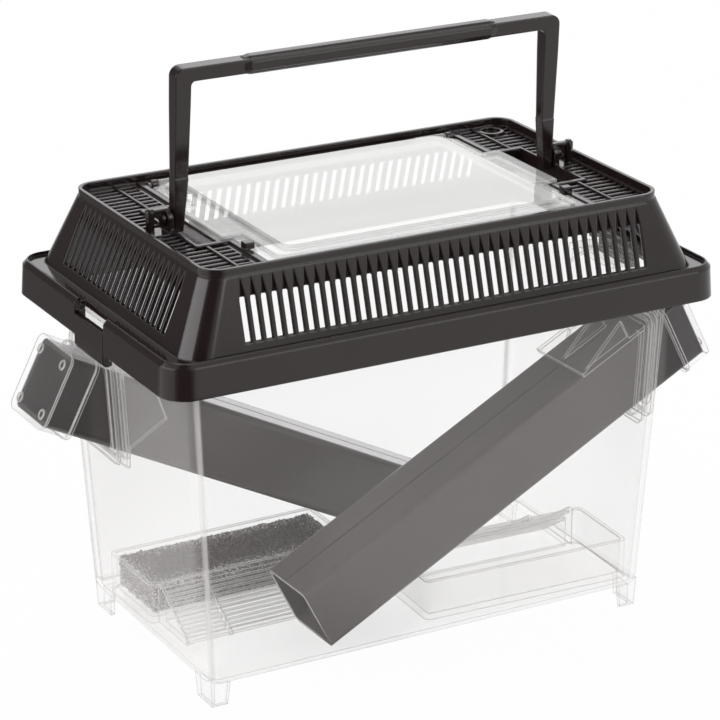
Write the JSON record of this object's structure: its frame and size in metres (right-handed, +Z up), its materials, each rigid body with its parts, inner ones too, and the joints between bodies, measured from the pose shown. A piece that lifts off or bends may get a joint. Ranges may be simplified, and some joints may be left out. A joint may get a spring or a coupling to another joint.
{
  "type": "plastic pet keeper",
  "caption": "Clear tapered tank for feeder insects with a slatted black hood, folding handle, see-through hatch, slanting pull-out tubes and clear ramped dishes.",
  "frame": {"origin": "middle of the footprint, at the underside of the feet", "axes": "+X along the long side, +Y towards the back, +Z up"},
  "size_m": [0.206, 0.111, 0.1844],
  "materials": {
    "clear_tank": "crystal-clear moulded styrene, glossy, slightly grey at the edges",
    "clear_hatch": "clear moulded styrene with a faintly milky, glossy skin",
    "clear_insert": "clear moulded styrene, glossy, bright at its edges",
    "black_plastic": "black moulded plastic, smooth satin gloss with fine mould texture",
    "tube_plastic": "black extruded plastic, satin, with faint draw lines",
    "sponge": "dark grey open-cell sponge, coarse and granular"
  },
  "bodies": {
    "root": {"tank": "clear_tank", "port_sleeve_right": "clear_insert", "port_sleeve_left": "clear_insert"},
    "lid": {"hood": "black_plastic"},
    "handle": {"handle": "black_plastic"},
    "hatch": {"hatch": "clear_hatch"},
    "latch_right": {"latch_right": "black_plastic"},
    "latch_left": {"latch_left": "black_plastic"},
    "tube_right": {"tube_right": "tube_plastic"},
    "tube_left": {"tube_left": "tube_plastic"},
    "cap_right": {"tube_cap_right": "clear_insert"},
    "cap_left": {"tube_cap_left": "clear_insert"},
    "food_dish": {"food_dish": "clear_insert"},
    "water_dish": {"water_dish": "clear_insert"},
    "sponge": {"sponge": "sponge"}
  },
  "joints": [
    {"name": "lid_lift", "type": "slide", "parent": "root", "child": "lid", "axis": [0, 0, 1], "range_m": [0, 0.06]},
    {"name": "handle_swing", "type": "hinge", "parent": "lid", "child": "handle", "pos_m": [0, 0, 0.1383], "axis": [1, 0, 0], "range_deg": [-89, 83]},
    {"name": "hatch_open", "type": "hinge", "parent": "lid", "child": "hatch", "pos_m": [0, 0.0398, 0.1351], "axis": [-1, 0, 0], "range_deg": [0, 40]},
    {"name": "latch_right_flex", "type": "hinge", "parent": "lid", "child": "latch_right", "pos_m": [0.0907, 0, 0.1077], "axis": [0, -1, 0], "range_deg": [0, 12], "stiffness_Nm_per_rad": 0.01},
    {"name": "latch_left_flex", "type": "hinge", "parent": "lid", "child": "latch_left", "pos_m": [-0.0907, 0, 0.1077], "axis": [0, 1, 0], "range_deg": [0, 12], "stiffness_Nm_per_rad": 0.01},
    {"name": "tube_right_pull", "type": "slide", "parent": "root", "child": "tube_right", "axis": [0.8906, 0.028, 0.454], "range_m": [0, 0.06]},
    {"name": "tube_left_pull", "type": "slide", "parent": "root", "child": "tube_left", "axis": [-0.891, 0, 0.454], "range_m": [0, 0.06]},
    {"name": "cap_right_pull", "type": "slide", "parent": "tube_right", "child": "cap_right", "axis": [0.8906, 0.028, 0.454], "range_m": [0, 0.01]},
    {"name": "cap_left_pull", "type": "slide", "parent": "tube_left", "child": "cap_left", "axis": [-0.891, 0, 0.454], "range_m": [0, 0.01]},
    {"name": "food_dish_lift", "type": "slide", "parent": "root", "child": "food_dish", "axis": [0, 0, 1], "range_m": [0, 0.0035]},
    {"name": "water_dish_lift", "type": "slide", "parent": "root", "child": "water_dish", "axis": [0, 0, 1], "range_m": [0, 0.0018]},
    {"name": "sponge_lift", "type": "slide", "parent": "water_dish", "child": "sponge", "axis": [0, 0, 1], "range_m": [0, 0.003]}
  ]
}
